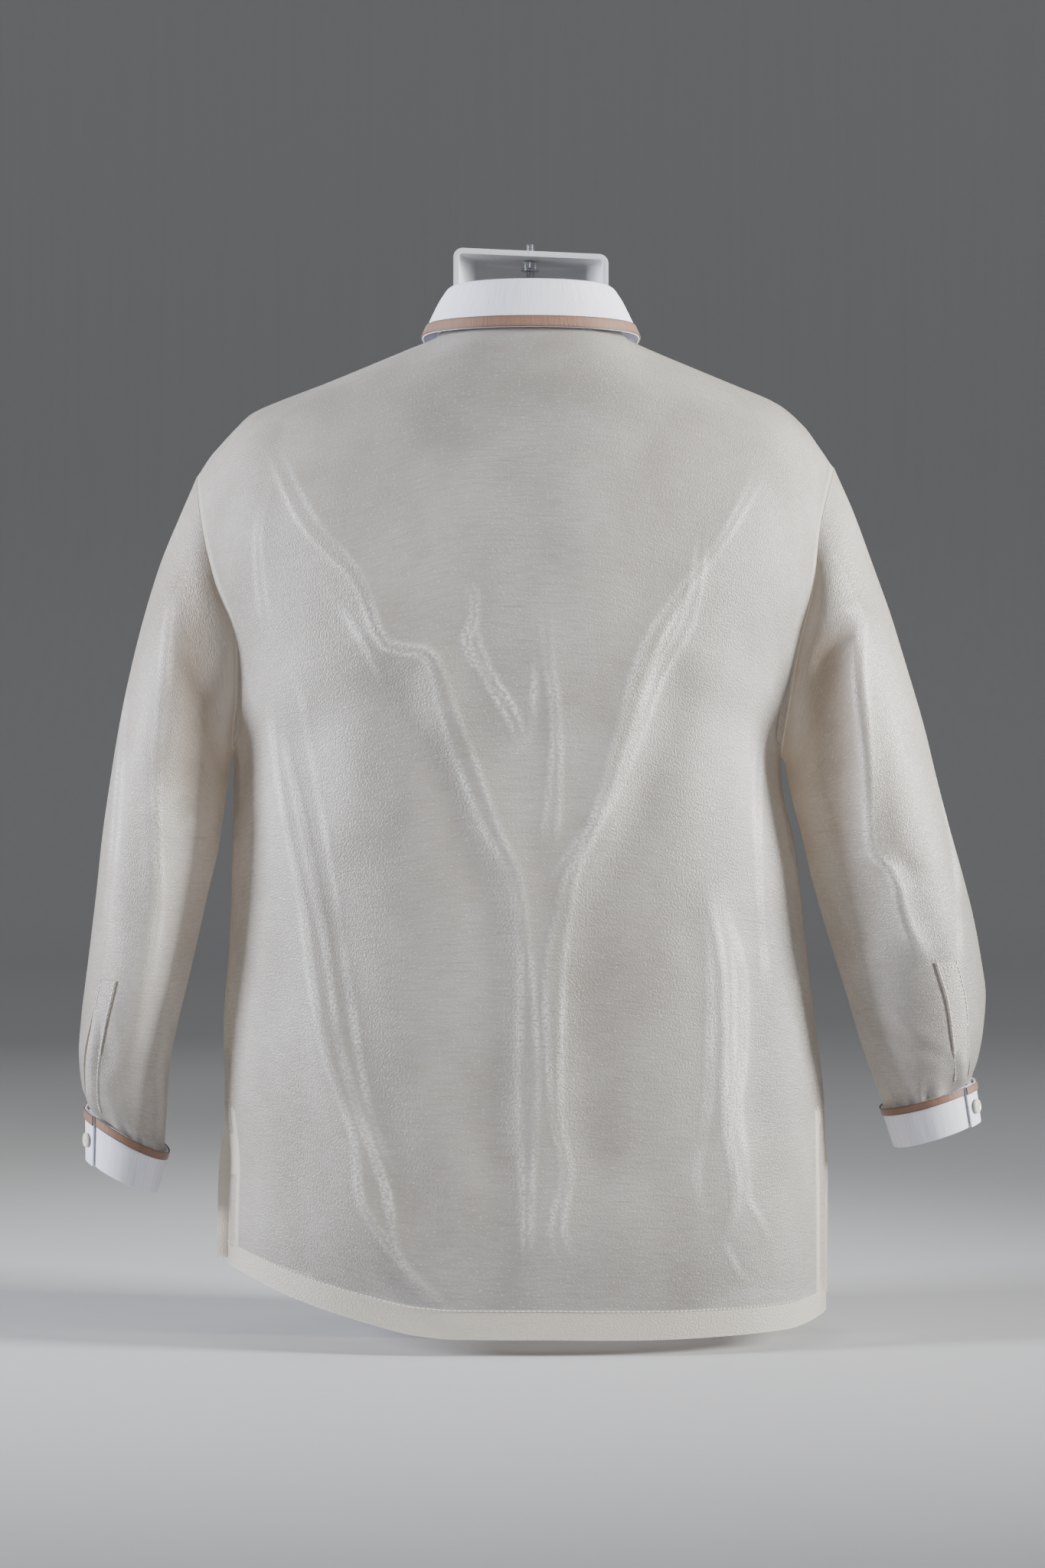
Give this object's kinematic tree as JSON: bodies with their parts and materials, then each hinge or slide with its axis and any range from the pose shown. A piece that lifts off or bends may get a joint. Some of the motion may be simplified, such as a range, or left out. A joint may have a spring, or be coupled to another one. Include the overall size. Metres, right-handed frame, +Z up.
{
  "type": "barong tagalog shirt on a hollow-back torso form",
  "caption": "Long-sleeved sheer barong shirt with a white collar and cuffs edged in brown, worn on an upright open-backed torso form with a capped neck and a threaded rod.",
  "frame": {"origin": "middle of the bounding box, at the plane on which the form's flat base rests", "axes": "+Z up, +Y towards the shirt's back, +X towards the wearer's left"},
  "size_m": [0.6822, 0.2296, 0.821],
  "materials": {
    "ivory_cloth": "sheer slubbed ivory organza with a soft sheen",
    "white_cloth": "plain white cloth",
    "brown_band": "woven brown band",
    "form_plastic": "moulded light grey",
    "steel": "zinc plated",
    "button": "shell coloured"
  },
  "bodies": {
    "root": {"back": "ivory_cloth", "front_left": "ivory_cloth", "front_right": "ivory_cloth", "front_band": "ivory_cloth", "front_button_1": "button", "front_button_2": "button", "front_button_3": "button", "front_button_4": "button", "front_button_5": "button", "front_button_6": "button", "collar_stand": "white_cloth", "collar_fall": "white_cloth", "collar_trim": "brown_band", "sleeve_left": "ivory_cloth", "sleeve_right": "ivory_cloth", "sleeve_placket_left": "ivory_cloth", "sleeve_placket_right": "ivory_cloth", "cuff_left": "white_cloth", "cuff_right": "white_cloth", "cuff_trim_left": "brown_band", "cuff_trim_right": "brown_band", "cuff_button_left": "button", "cuff_button_right": "button", "torso_form": "form_plastic", "rod": "steel", "nut": "steel", "washer": "steel"}
  },
  "joints": []
}
